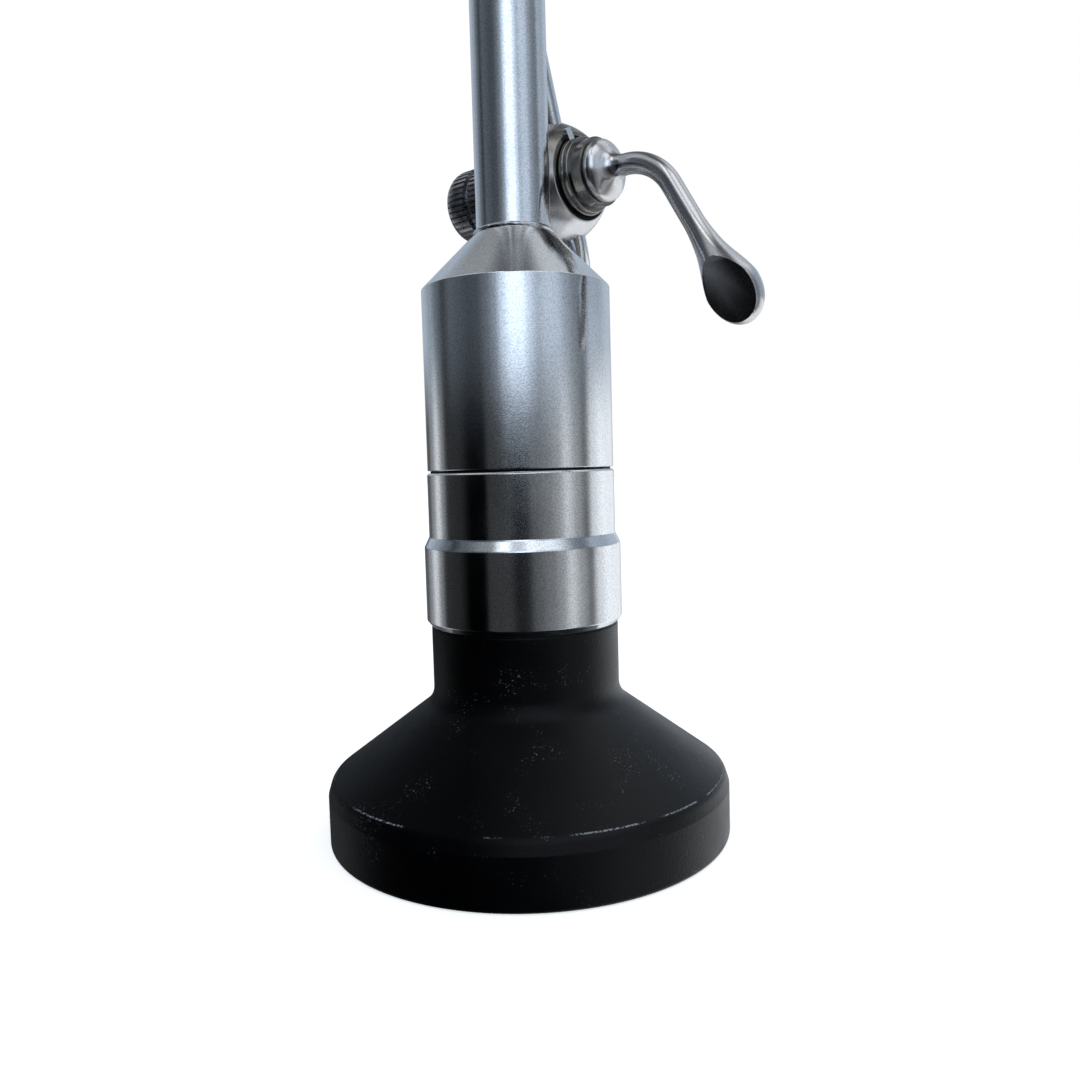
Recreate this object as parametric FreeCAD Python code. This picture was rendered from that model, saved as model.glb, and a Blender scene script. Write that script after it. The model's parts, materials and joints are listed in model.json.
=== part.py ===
import FreeCAD, Part
import math
import os
from FreeCAD import Placement, Rotation, Vector

# Rigid cystoscope with a built-in channel. It stands on its eyecup: the origin is the centre of the
# eyecup's rim, and +Z runs up the shaft to the distal tip. Lengths are in millimetres, angles in degrees.

# Clearances
seat_gap = 0.03              # radial gap of a fixed seat
running_gap = 0.03           # radial gap of the turning plug
face_gap = 0.05              # gap between faces that turn on each other

# Eyecup
eyecup_radius = 16.0         # the standard 32 mm eyepiece cap
eyecup_length = 16.6
rim_band_height = 3.9
rim_edge_round = 0.3
shoulder_inset = 0.3
shoulder_rise = 1.027996     # of the shoulder's corner above the rim's band
shoulder_round = 1.6
flank_angle = 35.9           # slope of the flank below horizontal
eyecup_neck_radius = 7.45
neck_fillet = 1.8
cup_rim_width = 1.5
cup_lip_depth = 1.6
cup_lip_inset = 0.5
cup_depth = 7.2

# Eyepiece window and ocular
window_radius = 6.0
window_thickness = 1.5
window_ring_radius = 6.4
window_ring_thickness = 1.0
window_ring_opening = 4.7
ocular_tube_radius = 5.55
ocular_bore_radius = 4.5
ocular_tube_rise = 1.2       # above the seam
ocular_throat_radius = 3.2
ocular_throat_length = 4.0
lens_gap = 0.02
field_stop_thickness = 0.8
field_stop_opening = 1.6
field_lens_edge = 1.6
eye_lens_edge = 1.6
lens_crown = 0.7
ocular_spacer_length = 7.4
ocular_spacer_wall = 0.45
lens_retainer_length = 1.0

# Collar between eyecup and barrel
lower_band_radius = 7.8
lower_band_height = 6.3
lower_band_bevel = 0.4
step_height = 0.85
marking_ring_radius = 7.4
marking_ring_height = 5.05
seam_bevel = 0.12
spigot_radius = 6.6
lower_spigot_length = 5.2
seal_height = 0.44
seal_groove_depth = 0.42
seal_groove_width = 0.5

# Barrel and cone
barrel_radius = 7.35
barrel_length = 14.0
barrel_edge_round = 0.25
cone_angle = 45.0
cone_top_radius = 3.05
barrel_cavity_radius = 6.0
shaft_seat_length = 7.2
weld_bead_height = 0.4
weld_bead_width = 0.1

# Shaft
shaft_radius = 2.8           # 17 French, with its polish
shaft_base_radius = 2.92     # thicker base, up to where the channel has gone in
shaft_base_margin = 6.1      # base above the place where the channel has gone in
shaft_base_taper = 1.5
shaft_bore_radius = 2.6
shaft_top = 285.0
tip_length = 9.0
tip_face_angle = 30.0
tip_face_azimuth = -80.0

# Optic inside the shaft
optic_radius = 0.93
optic_wall = 0.11
optic_offset = 0.5           # from the shaft axis, away from the channel
optic_seat_length = 1.8
rod_lens_count = 5
rod_spacer_length = 2.4
rod_spacer_wall = 0.25
objective_length = 4.0
distal_window_length = 3.2

# Stopcock: its plug is square to the slanting channel, beside the shaft
plug_azimuth = -42.0
plug_axis_offset = 5.9       # between plug axis and shaft axis
ball_clearance = 0.15        # between the ball and the top of the cone
channel_angle = 17.8         # slant of the channel from the shaft
channel_radius = 1.05
channel_bore_radius = 0.87   # passes a 5 French instrument
channel_offset = 1.5         # of the channel inside the shaft, from the shaft axis
channel_bend_radius = 12.0
channel_socket_start = 3.4
ball_radius = 4.95
ball_setback = 1.3
ball_face = 2.2
ball_face_round = 0.12
boss_radius = 2.85
boss_end = 6.1
plug_large_radius = 2.2
plug_small_radius = 1.8
drive_square = 1.7
drive_length = 3.35
tail_radius = 1.07
tail_length = 4.1
seal_radius = 3.15
seal_recess = 0.25
seal_thickness = 0.27
flange_radius = 3.08
flange_step_radius = 2.95
flange_ring_thickness = 0.4
flange_collar_radius = 2.65
flange_collar_length = 1.05
stop_lug_angle = -33.0       # from straight up, towards the shaft
stop_lug_width = 0.65
stop_lug_reach = 3.85
stop_lug_depth = 1.2         # let into the ball
stop_travel = 90.0
stop_gap = 0.06

# Lever
dome_radius = 2.4
dome_lip_length = 0.3
dome_shoulder_share = 0.7
lever_bar_radius = 0.82
lever_bend_corner = 9.3
lever_bend_radius = 5.0
lever_drop_angle = 58.6
pad_distance = 12.55
pad_radius = 2.15
pad_thickness = 1.95
pad_taper_length = 3.4
pad_end_length = 2.85
pad_end_flat = 0.2

# Knurled cap nut on the far end of the plug
cap_radius = 3.15
cap_length = 4.85
cap_wide_length = 2.5
cap_groove_radius = 2.85
cap_groove_width = 0.35
cap_narrow_radius = 3.0
cap_cavity_radius = 2.3
cap_cavity_depth = 2.6
cap_end_round = 1.1
knurl_count = 40
knurl_depth = 0.2
washer_thickness = 0.35
disc_spring_count = 2
disc_spring_thickness = 0.3

# Port for fluid and instruments, turned away behind the barrel
port_bend_start = 4.7
port_bend_radius = 5.0
port_azimuth = 95.0
port_dip = 12.0
port_tube_run = 3.0
luer_neck_radius = 1.9
luer_neck_length = 1.6
luer_hub_radius = 3.2
luer_hub_length = 8.5
luer_lug_reach = 3.9
luer_lug_length = 1.3
luer_lug_width = 5.0
luer_mouth_radius = 2.15     # 6 per cent taper
luer_taper = 0.06
luer_depth = 7.5

# Light post on the back of the barrel
light_azimuth = 100.0
light_rise = 3.9             # of the post's axis above the seam
light_clearance = 0.1        # between the post and the collar's spigot
light_spigot_radius = 2.2
light_flange_radius = 3.4
light_flange_reach = 1.5
light_waist_radius = 2.4
light_waist_length = 1.8
light_body_radius = 3.2
light_body_length = 2.8
light_nose_radius = 2.5
light_nose_length = 4.0
adaptor_radius = 4.1
adaptor_grip_length = 3.6
adaptor_groove_radius = 3.3
adaptor_groove_width = 1.0
adaptor_end_radius = 3.8
adaptor_end_length = 6.4
adaptor_flute_count = 24
adaptor_flute_depth = 0.35
light_guide_radius = 1.9
light_lead_radius = 0.7
light_lead_offset = 1.78
light_lead_bend = 2.6
fibre_start_above_seat = 3.0

# Derived places
UP = Vector(0, 0, 1)
HERE = Vector(0, 0, 0)
cup_mouth_radius = eyecup_radius - cup_rim_width
shoulder_radius = eyecup_radius - shoulder_inset
shoulder_height = rim_band_height + shoulder_rise
flank_top = shoulder_height + (shoulder_radius - eyecup_neck_radius) * math.tan(math.radians(flank_angle))
collar_bottom = eyecup_length
step_bottom = collar_bottom + lower_band_height
ring_bottom = step_bottom + step_height
seam_height = ring_bottom + marking_ring_height
barrel_top = seam_height + barrel_length
cone_top = barrel_top + (barrel_radius - cone_top_radius) / math.tan(math.radians(cone_angle))
light_height = seam_height + light_rise
upper_spigot_length = light_rise - light_spigot_radius - light_clearance
ocular_tube_top = seam_height + ocular_tube_rise
shaft_bottom = cone_top - shaft_seat_length
window_bottom = cup_depth + window_ring_thickness
ocular_bottom = window_bottom + window_thickness
optic_bottom = ocular_tube_top - optic_seat_length
ocular_throat_top = optic_bottom - (optic_seat_length - ocular_tube_rise) / 3
ocular_bore_top = ocular_throat_top - ocular_throat_length
plug_axis_height = cone_top + ball_radius + ball_clearance
channel_entry_height = plug_axis_height + (plug_axis_offset - channel_offset) / math.tan(math.radians(channel_angle))
shaft_base_top = channel_entry_height + shaft_base_margin
tip_face_drop = shaft_radius * math.tan(math.radians(tip_face_angle))
tip_face_height = shaft_top - tip_face_drop
seal_start = ball_face - seal_recess
seal_end = seal_start + seal_thickness
flange_start = seal_end + face_gap
flange_step_start = flange_start + flange_ring_thickness
flange_collar_start = flange_step_start + flange_ring_thickness
dome_start = flange_collar_start + flange_collar_length
cap_start = boss_end + face_gap


def heading(azimuth, dip=0.0):
    """Unit vector at an azimuth from +X, dipping below the horizontal."""
    level = math.cos(math.radians(dip))
    return Vector(level * math.cos(math.radians(azimuth)), level * math.sin(math.radians(azimuth)),
                  -math.sin(math.radians(dip)))


plug_way = heading(plug_azimuth)
channel_side = UP.cross(plug_way)
plug_origin = channel_side * plug_axis_offset + UP * plug_axis_height
plug_frame = Placement(plug_origin, Rotation(channel_side, UP, plug_way, "ZXY"))
flow_up = channel_side * -math.sin(math.radians(channel_angle)) + UP * math.cos(math.radians(channel_angle))
optic_axis = channel_side * -optic_offset


def turned(start, *steps):
    """Solid turned about +Z from a (radius, height) outline; an arc step is a pair of points."""
    first = Vector(start[0], 0, start[1])
    here = first
    edges = []
    for step in steps:
        if isinstance(step[0], tuple):
            middle, end = (Vector(radius, 0, height) for radius, height in step)
            edges.append(Part.Arc(here, middle, end).toShape())
        else:
            end = Vector(step[0], 0, step[1])
            edges.append(Part.makeLine(here, end))
        here = end
    edges.append(Part.makeLine(here, first))
    return Part.Face(Part.Wire(edges)).revolve(HERE, UP, 360)


def cylinder(radius, bottom, top, centre=HERE):
    return Part.makeCylinder(radius, top - bottom, centre + UP * bottom, UP)


def ring(outer, inner, bottom, top, centre=HERE):
    return cylinder(outer, bottom, top, centre).cut(cylinder(inner, bottom, top, centre))


def rod_between(start, end, radius):
    return Part.makeCylinder(radius, (end - start).Length, start, end - start)


def softened(shape, radius, *places):
    """Fillet the circular edges about +Z that lie at the given (radius, height) places."""
    chosen = []
    for edge in shape.Edges:
        curve = edge.Curve
        if not isinstance(curve, Part.Circle):
            continue
        for place_radius, height in places:
            if abs(curve.Radius - place_radius) < 1e-4 and abs(curve.Center.z - height) < 1e-4:
                chosen.append(edge)
    return shape.makeFillet(radius, chosen)


def bend(start, way_in, way_out, radius):
    """Arc that leaves start along way_in and ends along way_out, with its end point."""
    half_turn = way_in.getAngle(way_out) / 2
    corner = start + way_in * (radius * math.tan(half_turn))
    end = corner + way_out * (radius * math.tan(half_turn))
    inward = (way_out - way_in).normalize()
    middle = corner + inward * (radius / math.cos(half_turn) - radius)
    return Part.Arc(start, middle, end).toShape(), end


def swept(edges, start, way, radius):
    """Round bar along a path that leaves start along way."""
    circle = Part.Wire(Part.Circle(start, way, radius).toShape())
    return Part.Wire(edges).makePipeShell([circle], True, False)


def fluted(radius, bottom, top, count, depth):
    """Bar with straight V flutes all round."""
    corners = []
    for flute in range(count):
        for share, reach in ((0, radius), (0.5, radius - depth)):
            angle = 2 * math.pi * (flute + share) / count
            corners.append(Vector(reach * math.cos(angle), reach * math.sin(angle), bottom))
    outline = Part.makePolygon(corners + corners[:1])
    return Part.Face(outline).extrude(UP * (top - bottom))


def cut_tip(shape):
    """Cut off what stands above the slanting distal face."""
    size = 4 * shaft_radius + 2 * tip_length
    block = Part.makeBox(size, size, size, Vector(-size / 2, -size / 2, 0))
    block.Placement = Placement(UP * tip_face_height, Rotation(UP.cross(heading(tip_face_azimuth)), tip_face_angle))
    return shape.cut(block)


def eyecup():
    body = turned((0, 0), (eyecup_radius, 0), (eyecup_radius, rim_band_height), (shoulder_radius, shoulder_height),
                  (eyecup_neck_radius, flank_top), (eyecup_neck_radius, eyecup_length), (0, eyecup_length))
    body = softened(body, shoulder_round, (shoulder_radius, shoulder_height))
    body = softened(body, neck_fillet, (eyecup_neck_radius, flank_top))
    body = softened(body, rim_edge_round, (eyecup_radius, 0))
    spigot_bottom = eyecup_length - lower_spigot_length
    hollow = turned((0, 0), (cup_mouth_radius, 0), (cup_mouth_radius - cup_lip_inset, cup_lip_depth),
                    (window_ring_radius + seat_gap, cup_depth), (window_ring_radius + seat_gap, window_bottom),
                    (window_radius + seat_gap, window_bottom), (window_radius + seat_gap, ocular_bottom),
                    (ocular_tube_radius + seat_gap, ocular_bottom), (ocular_tube_radius + seat_gap, spigot_bottom),
                    (spigot_radius + seat_gap, spigot_bottom), (spigot_radius + seat_gap, eyecup_length),
                    (0, eyecup_length))
    return softened(body.cut(hollow), rim_edge_round, (cup_mouth_radius, 0))


def window_ring():
    blank = ring(window_ring_radius, window_ring_opening, cup_depth, window_bottom)
    notch = Part.makeBox(2 * window_ring_radius, rim_edge_round * 3, window_ring_thickness / 2,
                         Vector(-window_ring_radius, -rim_edge_round * 1.5, cup_depth))
    return blank.cut(notch)


def eyepiece_window():
    return cylinder(window_radius, window_bottom, ocular_bottom)


def ocular_tube():
    body = cylinder(ocular_tube_radius, ocular_bottom, ocular_tube_top)
    body = body.cut(cylinder(ocular_bore_radius, ocular_bottom, ocular_bore_top, optic_axis))
    body = body.cut(cylinder(ocular_throat_radius, ocular_bore_top, ocular_throat_top, optic_axis))
    return body.cut(cylinder(optic_radius + seat_gap, ocular_throat_top, ocular_tube_top, optic_axis))


def ocular_heights():
    """Bottom height of each piece that is stacked down from the ocular tube's shoulder."""
    heights = {}
    height = ocular_bore_top
    for name, length in (("field_stop", field_stop_thickness), ("field_lens", field_lens_edge),
                         ("spacer", ocular_spacer_length), ("eye_lens", eye_lens_edge),
                         ("retainer", lens_retainer_length)):
        height -= length
        heights[name] = height
    return heights


def ocular_fit_radius():
    return ocular_bore_radius - lens_gap


def field_stop():
    bottom = ocular_heights()["field_stop"]
    return ring(ocular_fit_radius(), field_stop_opening, bottom, ocular_bore_top, optic_axis)


def crown_below(face, back):
    """Domed face of a lens, below the height of its flat edge and running back into the lens."""
    clear = ocular_fit_radius() - ocular_spacer_wall
    sphere_radius = (clear ** 2 + lens_crown ** 2) / (2 * lens_crown)
    sphere = Part.makeSphere(sphere_radius, UP * (face - lens_crown + sphere_radius), UP)
    return sphere.common(cylinder(clear, face - 2 * lens_crown, (face + back) / 2))


def field_lens():
    bottom = ocular_heights()["field_lens"]
    top = bottom + field_lens_edge
    lens = cylinder(ocular_fit_radius(), bottom, top).fuse(crown_below(bottom, top))
    lens.translate(optic_axis)
    return lens


def ocular_spacer():
    heights = ocular_heights()
    outer = ocular_fit_radius()
    return ring(outer, outer - ocular_spacer_wall, heights["spacer"], heights["field_lens"], optic_axis)


def eye_lens():
    bottom = ocular_heights()["eye_lens"]
    top = bottom + eye_lens_edge
    crown = crown_below(bottom, top)
    crown_above = crown.mirror(UP * ((bottom + top) / 2), UP)
    lens = cylinder(ocular_fit_radius(), bottom, top).fuse([crown, crown_above]).removeSplitter()
    lens.translate(optic_axis)
    return lens


def lens_retainer():
    heights = ocular_heights()
    outer = ocular_fit_radius()
    return ring(outer, outer - ocular_spacer_wall, heights["retainer"], heights["eye_lens"], optic_axis)


def lower_seal_height():
    return collar_bottom - lower_spigot_length / 2


def upper_seal_height():
    return seam_height + upper_spigot_length / 2


def seal_groove(height):
    return ring(spigot_radius, spigot_radius - seal_groove_depth, height - seal_groove_width / 2,
                height + seal_groove_width / 2)


def seal_ring(height):
    """Square-section ring that fills the gap between a groove's floor and the bore around it."""
    return ring(spigot_radius + seat_gap, spigot_radius - seal_groove_depth, height - seal_height / 2,
                height + seal_height / 2)


def eyepiece_collar():
    step_middle = (lower_band_radius + marking_ring_radius) / 2
    body = turned((0, collar_bottom), (lower_band_radius - lower_band_bevel, collar_bottom),
                  (lower_band_radius, collar_bottom + lower_band_bevel), (lower_band_radius, step_bottom),
                  ((lower_band_radius - 0.1 * step_height, step_bottom + 0.3 * step_height),
                   (step_middle, step_bottom + step_height / 2)),
                  ((marking_ring_radius + 0.1 * step_height, ring_bottom - 0.3 * step_height),
                   (marking_ring_radius, ring_bottom)),
                  (marking_ring_radius, seam_height - seam_bevel), (marking_ring_radius - seam_bevel, seam_height),
                  (0, seam_height))
    body = body.fuse(cylinder(spigot_radius, collar_bottom - lower_spigot_length, seam_height + upper_spigot_length))
    bore = cylinder(ocular_tube_radius + seat_gap, collar_bottom - lower_spigot_length,
                    seam_height + upper_spigot_length)
    body = body.cut(bore).cut(seal_groove(lower_seal_height())).cut(seal_groove(upper_seal_height()))
    return body.removeSplitter()


def eyecup_seal():
    return seal_ring(lower_seal_height())


def barrel_seal():
    return seal_ring(upper_seal_height())


def light_hole():
    post_way = heading(light_azimuth)
    start = UP * light_height
    return rod_between(start, start + post_way * 2 * barrel_radius, light_spigot_radius + seat_gap)


def barrel():
    body = turned((0, seam_height), (barrel_radius - seam_bevel, seam_height), (barrel_radius, seam_height + seam_bevel),
                  (barrel_radius, barrel_top), (cone_top_radius, cone_top), (0, cone_top))
    body = softened(body, barrel_edge_round, (barrel_radius, barrel_top))
    spigot_top = seam_height + upper_spigot_length
    hollow = turned((0, seam_height), (spigot_radius + seat_gap, seam_height), (spigot_radius + seat_gap, spigot_top),
                    (barrel_cavity_radius, spigot_top), (barrel_cavity_radius, shaft_bottom),
                    (shaft_base_radius + seat_gap, shaft_bottom), (shaft_base_radius + seat_gap, cone_top), (0, cone_top))
    return body.cut(hollow).cut(light_hole())


def shaft_weld():
    inner = shaft_base_radius + seat_gap
    outer = cone_top_radius
    return turned((inner, cone_top), (outer, cone_top),
                  ((outer + weld_bead_width * 0.6, cone_top + weld_bead_height * 0.4),
                   (outer, cone_top + weld_bead_height * 0.8)),
                  ((inner + weld_bead_width * 0.6, cone_top + weld_bead_height * 0.95),
                   (inner, cone_top + weld_bead_height)))


def channel_path():
    """Path of the channel tube from the stopcock up to the distal face, as edges, start and first way."""
    start = plug_origin + flow_up * channel_socket_start
    slant = math.radians(channel_angle)
    corner = plug_origin + flow_up * ((plug_axis_offset - channel_offset) / math.sin(slant))
    bend_start = corner - flow_up * (channel_bend_radius * math.tan(slant / 2))
    arc, bend_end = bend(bend_start, flow_up, UP, channel_bend_radius)
    top = Vector(bend_end.x, bend_end.y, shaft_top + tip_length)
    return [Part.makeLine(start, bend_start), arc, Part.makeLine(bend_end, top)], start


def channel_bar(radius):
    edges, start = channel_path()
    return swept(edges, start, flow_up, radius)


def channel_tube():
    return cut_tip(channel_bar(channel_radius).cut(channel_bar(channel_bore_radius)))


def outer_tube():
    top = shaft_top - tip_length
    body = turned((0, shaft_bottom), (shaft_base_radius, shaft_bottom), (shaft_base_radius, shaft_base_top),
                  (shaft_radius, shaft_base_top + shaft_base_taper), (shaft_radius, top), (0, top))
    return body.cut(cylinder(shaft_bore_radius, shaft_bottom, top)).cut(channel_bar(channel_radius + seat_gap))


def distal_tip():
    return cut_tip(ring(shaft_radius, shaft_bore_radius, shaft_top - tip_length, shaft_top + tip_length))


def optic_tube():
    return cut_tip(ring(optic_radius, optic_radius - optic_wall, optic_bottom, shaft_top + tip_length, optic_axis))


def glass_radius():
    return optic_radius - optic_wall - lens_gap


def relay_top():
    return tip_face_height - distal_window_length - objective_length


def rod_length():
    relay = relay_top() - optic_bottom - rod_spacer_length
    return relay / rod_lens_count - rod_spacer_length


def rod_bottom(index):
    return optic_bottom + rod_spacer_length + index * (rod_length() + rod_spacer_length)


def rod_lenses():
    return Part.makeCompound([cylinder(glass_radius(), rod_bottom(index), rod_bottom(index) + rod_length(), optic_axis)
                              for index in range(rod_lens_count)])


def rod_spacers():
    outer = glass_radius()
    spacers = []
    for index in range(rod_lens_count + 1):
        bottom = rod_bottom(index) - rod_spacer_length
        spacers.append(ring(outer, outer - rod_spacer_wall, bottom, bottom + rod_spacer_length, optic_axis))
    return Part.makeCompound(spacers)


def objective_lens():
    return cylinder(glass_radius(), relay_top(), relay_top() + objective_length, optic_axis)


def distal_window():
    return cut_tip(cylinder(glass_radius(), relay_top() + objective_length, shaft_top + tip_length, optic_axis))


def light_fibres():
    body = cylinder(shaft_bore_radius - lens_gap, shaft_bottom + fibre_start_above_seat, shaft_top + tip_length)
    body = body.cut(cylinder(optic_radius + lens_gap, shaft_bottom, shaft_top + tip_length, optic_axis))
    return cut_tip(body.cut(channel_bar(channel_radius + lens_gap)))


def light_lead():
    """Round stretch of the fibre bundle, from the light post up into the shaft."""
    inward = heading(light_azimuth) * -1
    lead_x = heading(light_azimuth) * light_lead_offset
    bend_start = UP * light_height + heading(light_azimuth) * (light_lead_offset + light_lead_bend)
    start = UP * light_height + heading(light_azimuth) * barrel_cavity_radius
    arc, bend_end = bend(bend_start, inward, UP, light_lead_bend)
    top = lead_x + UP * (shaft_bottom + fibre_start_above_seat)
    return swept([Part.makeLine(start, bend_start), arc, Part.makeLine(bend_end, top)], start, inward,
                 light_lead_radius)


def on_light_axis(shape):
    """Place a shape that was turned about +Z on the light post's axis."""
    shape.Placement = Placement(UP * light_height, Rotation(UP, heading(light_azimuth)))
    return shape


def light_guide_start():
    return barrel_cavity_radius


def light_waist_start():
    return barrel_radius + light_flange_reach


def light_body_end():
    return light_waist_start() + light_waist_length + light_body_length


def light_post():
    waist_end = light_waist_start() + light_waist_length
    nose_end = light_body_end() + light_nose_length
    body = turned((0, barrel_cavity_radius), (light_spigot_radius, barrel_cavity_radius),
                  (light_spigot_radius, barrel_radius - seam_bevel), (light_flange_radius, barrel_radius - seam_bevel),
                  (light_flange_radius, light_waist_start()), (light_waist_radius, light_waist_start()),
                  (light_waist_radius, waist_end), (light_body_radius, waist_end),
                  (light_body_radius, light_body_end()), (light_nose_radius, light_body_end()),
                  (light_nose_radius, nose_end), (0, nose_end))
    body = softened(body, seam_bevel * 2, (light_flange_radius, light_waist_start()), (light_body_radius, waist_end))
    saddle_root = turned((0, 0), (light_flange_radius, 0), (light_flange_radius, barrel_radius), (0, barrel_radius))
    around = on_light_axis(body.fuse(saddle_root))
    housing = cylinder(barrel_radius, collar_bottom, barrel_top)
    spigot = on_light_axis(cylinder(light_spigot_radius, barrel_cavity_radius, barrel_radius))
    guide = on_light_axis(cylinder(light_guide_radius + seat_gap, light_guide_start(), nose_end))
    return around.cut(housing).fuse(spigot).cut(guide).removeSplitter()


def light_adaptor():
    start = light_body_end()
    grip_end = start + adaptor_grip_length
    groove_end = grip_end + adaptor_groove_width
    end = groove_end + adaptor_end_length
    sleeve = turned((0, start), (adaptor_radius, start), (adaptor_radius, grip_end), (adaptor_groove_radius, grip_end),
                    (adaptor_groove_radius, groove_end), (adaptor_end_radius, groove_end), (adaptor_end_radius, end),
                    (0, end))
    flutes = fluted(adaptor_radius, start, grip_end, adaptor_flute_count, adaptor_flute_depth)
    beyond = cylinder(adaptor_radius, grip_end, end)
    body = sleeve.common(flutes.fuse(beyond))
    body = softened(body, seam_bevel * 2, (adaptor_end_radius, end))
    thread = cylinder(light_nose_radius + seat_gap, start, start + light_nose_length)
    throat = cylinder(light_guide_radius + seat_gap, start, end)
    return on_light_axis(body.cut(thread).cut(throat))


def light_guide():
    end = light_body_end() + adaptor_grip_length + adaptor_groove_width + adaptor_end_length
    return on_light_axis(cylinder(light_guide_radius, light_guide_start(), end - seam_bevel))


def in_plug_frame(shape):
    """Place a shape made in the plug's own frame: +Z along the plug, +Y up, +X away from the shaft."""
    shape.Placement = plug_frame.multiply(shape.Placement)
    return shape


def flow_bar(radius, start, end):
    """Bar along the flow line in the plug's own frame, from start to end above the plug axis."""
    slant = math.radians(channel_angle)
    way = Vector(-math.sin(slant), math.cos(slant), 0)
    return Part.makeCylinder(radius, end - start, way * start, way)


def plug_radius_at(height):
    """Radius of the plug's taper at a height along the plug axis."""
    share = (height + boss_end) / (ball_face + boss_end)
    return plug_small_radius + (plug_large_radius - plug_small_radius) * share


def stopcock_body():
    ball = Part.makeSphere(ball_radius, Vector(0, 0, -ball_setback))
    ball = ball.common(cylinder(2 * ball_radius, -boss_end, ball_face))
    face_radius = math.sqrt(ball_radius ** 2 - (ball_face + ball_setback) ** 2)
    ball = softened(ball, ball_face_round, (face_radius, ball_face))
    body = ball.fuse(cylinder(boss_radius, -boss_end, -ball_setback))
    body = body.cut(cylinder(seal_radius + seat_gap, seal_start, ball_face))
    taper = Part.makeCone(plug_radius_at(-boss_end) + running_gap, plug_radius_at(ball_face) + running_gap,
                          ball_face + boss_end, UP * -boss_end, UP)
    reach = 2 * ball_radius
    socket = channel_radius + seat_gap
    body = body.cut(taper).cut(flow_bar(channel_bore_radius, -reach, reach))
    body = body.cut(flow_bar(socket, channel_socket_start, reach))
    body = body.cut(flow_bar(socket, -reach, -channel_socket_start))
    shaft = Part.makeCylinder(shaft_base_radius + seat_gap, 4 * ball_radius,
                              Vector(-plug_axis_offset, -2 * ball_radius, 0), Vector(0, 1, 0))
    return in_plug_frame(body.cut(shaft))


def stop_lug():
    inner = flange_collar_radius + face_gap
    start = ball_face - stop_lug_depth
    lug = Part.makeBox(stop_lug_width, stop_lug_reach - inner, flange_step_start - face_gap - start,
                       Vector(-stop_lug_width / 2, inner, start))
    lug = lug.cut(cylinder(seal_radius + seat_gap, start, seal_end + seat_gap))
    lug.rotate(HERE, UP, -stop_lug_angle)
    return in_plug_frame(lug)


def drive_bar(side, start, end):
    return Part.makeBox(side, side, end - start, Vector(-side / 2, -side / 2, start))


def stopcock_plug():
    taper = Part.makeCone(plug_radius_at(-boss_end), plug_radius_at(ball_face), ball_face + boss_end,
                          UP * -boss_end, UP)
    drive = drive_bar(drive_square, ball_face, ball_face + drive_length)
    tail = cylinder(tail_radius, -boss_end - tail_length, -boss_end)
    body = taper.fuse([drive, tail]).removeSplitter()
    return in_plug_frame(body.cut(flow_bar(channel_bore_radius, -ball_radius, ball_radius)))


def plug_seal():
    return in_plug_frame(ring(seal_radius, plug_large_radius + 2 * running_gap, seal_start, seal_end))


def stop_recess():
    """Sector of the flange that clears the stop lug over the plug's whole travel."""
    clear = math.degrees(math.atan2(stop_lug_width / 2 + stop_gap, flange_collar_radius))
    sweep = stop_travel + 2 * clear
    sector = Part.makeCylinder(2 * flange_radius, flange_ring_thickness, UP * flange_start, UP, sweep)
    sector.rotate(HERE, UP, 90 - stop_lug_angle - sweep + clear)
    return sector.cut(cylinder(flange_collar_radius, flange_start, flange_step_start))


def stopcock_flange():
    body = turned((0, flange_start), (flange_radius, flange_start), (flange_radius, flange_step_start),
                  (flange_step_radius, flange_step_start), (flange_step_radius, flange_collar_start),
                  (flange_collar_radius, flange_collar_start), (flange_collar_radius, dome_start), (0, dome_start))
    edge = flange_ring_thickness / 4
    body = softened(body, edge, (flange_radius, flange_step_start), (flange_radius, flange_start),
                    (flange_step_radius, flange_collar_start))
    body = body.cut(stop_recess())
    return in_plug_frame(body.cut(drive_bar(drive_square + 2 * seat_gap, flange_start, dome_start)))


def lever_pad():
    """Bulb ground flat on both sides, turned about +Z with its widest part at the origin."""
    bar = lever_bar_radius
    wide = pad_radius
    bulb = turned((0, -pad_taper_length), (bar, -pad_taper_length),
                  ((bar + (wide - bar) * 0.42, -pad_taper_length * 0.45), (wide, 0)),
                  ((wide * 0.85, pad_end_length * 0.62), (pad_end_flat, pad_end_length)), (0, pad_end_length))
    slab = Part.makeBox(pad_thickness, 4 * wide, 4 * pad_taper_length,
                        Vector(-pad_thickness / 2, -2 * wide, -2 * pad_taper_length))
    return bulb.common(slab)


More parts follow.
